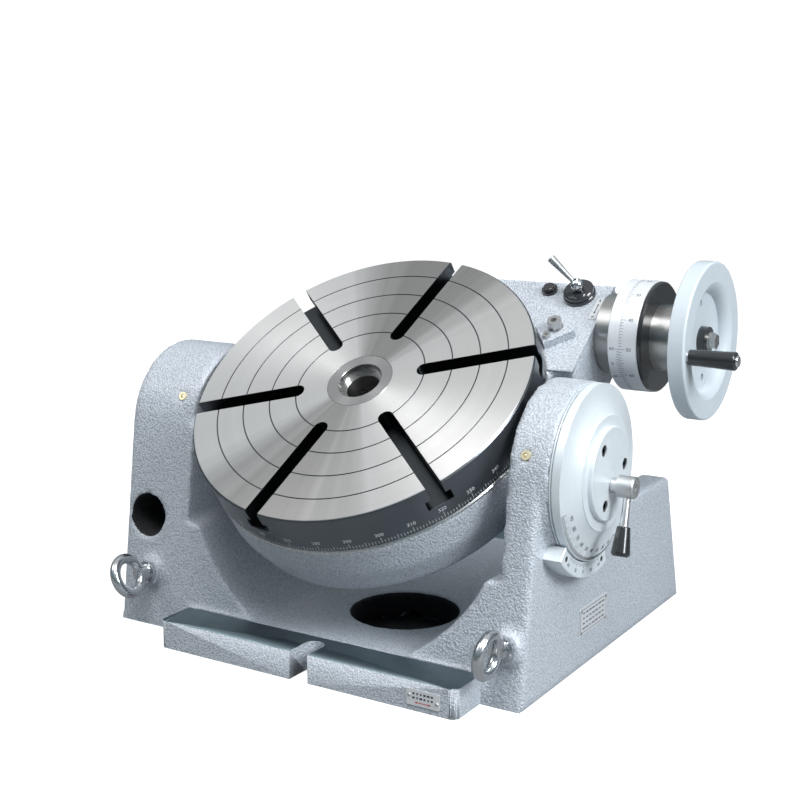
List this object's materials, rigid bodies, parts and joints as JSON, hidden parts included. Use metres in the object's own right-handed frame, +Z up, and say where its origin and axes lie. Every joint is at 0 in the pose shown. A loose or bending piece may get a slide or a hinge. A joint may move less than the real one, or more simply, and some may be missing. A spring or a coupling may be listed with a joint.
{
  "type": "tilting rotary table",
  "caption": "Tilting rotary table: a T-slotted round faceplate in a trunnion cradle between two cheeks, turned by a worm with handwheel and graduated dial, tilted by a second worm.",
  "frame": {"origin": "underside of the base, straight below the trunnion axis, midway between the clamping slots in X", "axes": "+X along the trunnions towards the handwheel, -Y towards the front clamping flange, +Z up"},
  "size_m": [0.5478, 0.4611, 0.3527],
  "materials": {
    "casting": "grey hammertone enamel over rough cast iron",
    "table_steel": "fine-turned iron, bright",
    "sleeve_steel": "ground steel",
    "worm_bronze": "tin bronze, machined",
    "steel": "machined steel",
    "satin_dial": "satin chrome dial",
    "black_steel": "gloss black oxide and enamel",
    "wheel_paint": "cast aluminium, satin",
    "chrome": "zinc and chrome plate",
    "brass": "turned brass",
    "plate": "etched aluminium plate",
    "bakelite": "moulded black",
    "screw": "black oxide cap screws"
  },
  "bodies": {
    "base": {"base_casting": "casting", "lifting_eyes": "chrome", "cheek_oilers": "brass", "name_plate": "plate", "name_plate_rivets": "steel", "direction_plate": "plate", "direction_plate_rivets": "steel", "tilt_vernier": "satin_dial", "tilt_vernier_screws": "screw", "left_bush": "worm_bronze", "right_bush": "worm_bronze", "left_end_cover": "casting", "left_cover_screws": "screw", "tilt_front_bush": "worm_bronze", "tilt_rear_bush": "worm_bronze"},
    "tilt_drive": {"tilt_worm": "steel"},
    "cradle": {"cradle_casting": "casting", "left_trunnion": "steel", "right_trunnion": "steel", "tilt_wheel": "worm_bronze", "tilt_dial": "satin_dial", "dial_hub": "satin_dial", "tilt_dial_screws": "screw", "clamp_stud": "steel", "bottom_cover": "casting", "bottom_cover_screws": "screw", "worm_end_cap": "steel", "oil_plug": "black_steel", "arrow_plate": "plate", "arrow_plate_rivets": "steel", "table_clamp_block": "casting", "table_clamp_pin": "steel", "lever_base": "black_steel", "thrust_ring": "steel", "inner_worm_bush": "worm_bronze", "eccentric_sleeve": "steel", "vernier_ring": "satin_dial"},
    "table": {"rotary_table": "table_steel", "centre_sleeve": "sleeve_steel", "worm_wheel": "worm_bronze", "worm_wheel_screws": "screw", "spindle_nut": "steel"},
    "worm": {"worm_shaft": "steel", "dial_lock_ring": "black_steel", "hub_sleeve": "steel", "handwheel": "wheel_paint", "wheel_hub_cap": "black_steel", "wheel_nut": "steel", "crank_pin": "steel"},
    "dial": {"dial_collar": "satin_dial"},
    "crank": {"crank_handle": "bakelite"},
    "table_clamp": {"table_clamp_screw": "steel"},
    "engage_lever": {"engage_lever_disc": "black_steel", "engage_lever_ball": "chrome", "engage_lever_rod": "chrome"},
    "clamp_lever": {"clamp_lever_hub": "satin_dial", "clamp_lever_rod": "steel", "clamp_lever_knob": "bakelite"}
  },
  "joints": [
    {"name": "cradle_tilt", "type": "hinge", "parent": "base", "child": "cradle", "pos_m": [0, 0, 0.183], "axis": [1, 0, 0], "range_deg": [-37, 53]},
    {"name": "table_spin", "type": "hinge", "parent": "cradle", "child": "table", "pos_m": [0, -0.03031, 0.23153], "axis": [0, -0.6018, 0.7986], "continuous": true},
    {"name": "worm_spin", "type": "hinge", "parent": "cradle", "child": "worm", "pos_m": [0.2, 0.11897, 0.28267], "axis": [1, 0, 0], "continuous": true},
    {"name": "dial_zero_set", "type": "hinge", "parent": "worm", "child": "dial", "pos_m": [0.205, 0.11897, 0.28267], "axis": [1, 0, 0], "continuous": true},
    {"name": "crank_spin", "type": "hinge", "parent": "worm", "child": "crank", "pos_m": [0.285, 0.06099, 0.27654], "axis": [1, 0, 0], "continuous": true},
    {"name": "tilt_worm_spin", "type": "hinge", "parent": "base", "child": "tilt_drive", "pos_m": [-0.214, 0, 0.103], "axis": [0, 1, 0], "range_deg": [-2400, 3400]},
    {"name": "table_clamp_turn", "type": "hinge", "parent": "cradle", "child": "table_clamp", "pos_m": [0.13712, 0.067, 0.29359], "axis": [0, -0.6018, 0.7986], "range_deg": [-90, 90]},
    {"name": "engage_lever_turn", "type": "hinge", "parent": "cradle", "child": "engage_lever", "pos_m": [0.139, 0.11129, 0.31945], "axis": [0, -0.6018, 0.7986], "range_deg": [-60, 30]},
    {"name": "clamp_lever_turn", "type": "hinge", "parent": "cradle", "child": "clamp_lever", "pos_m": [0.238, 0.002, 0.173], "axis": [1, 0, 0], "range_deg": [-45, 60]}
  ],
  "couplings": [
    {"joint": "worm_spin", "follows": "table_spin", "ratio": 90},
    {"joint": "tilt_worm_spin", "follows": "cradle_tilt", "ratio": 60}
  ]
}
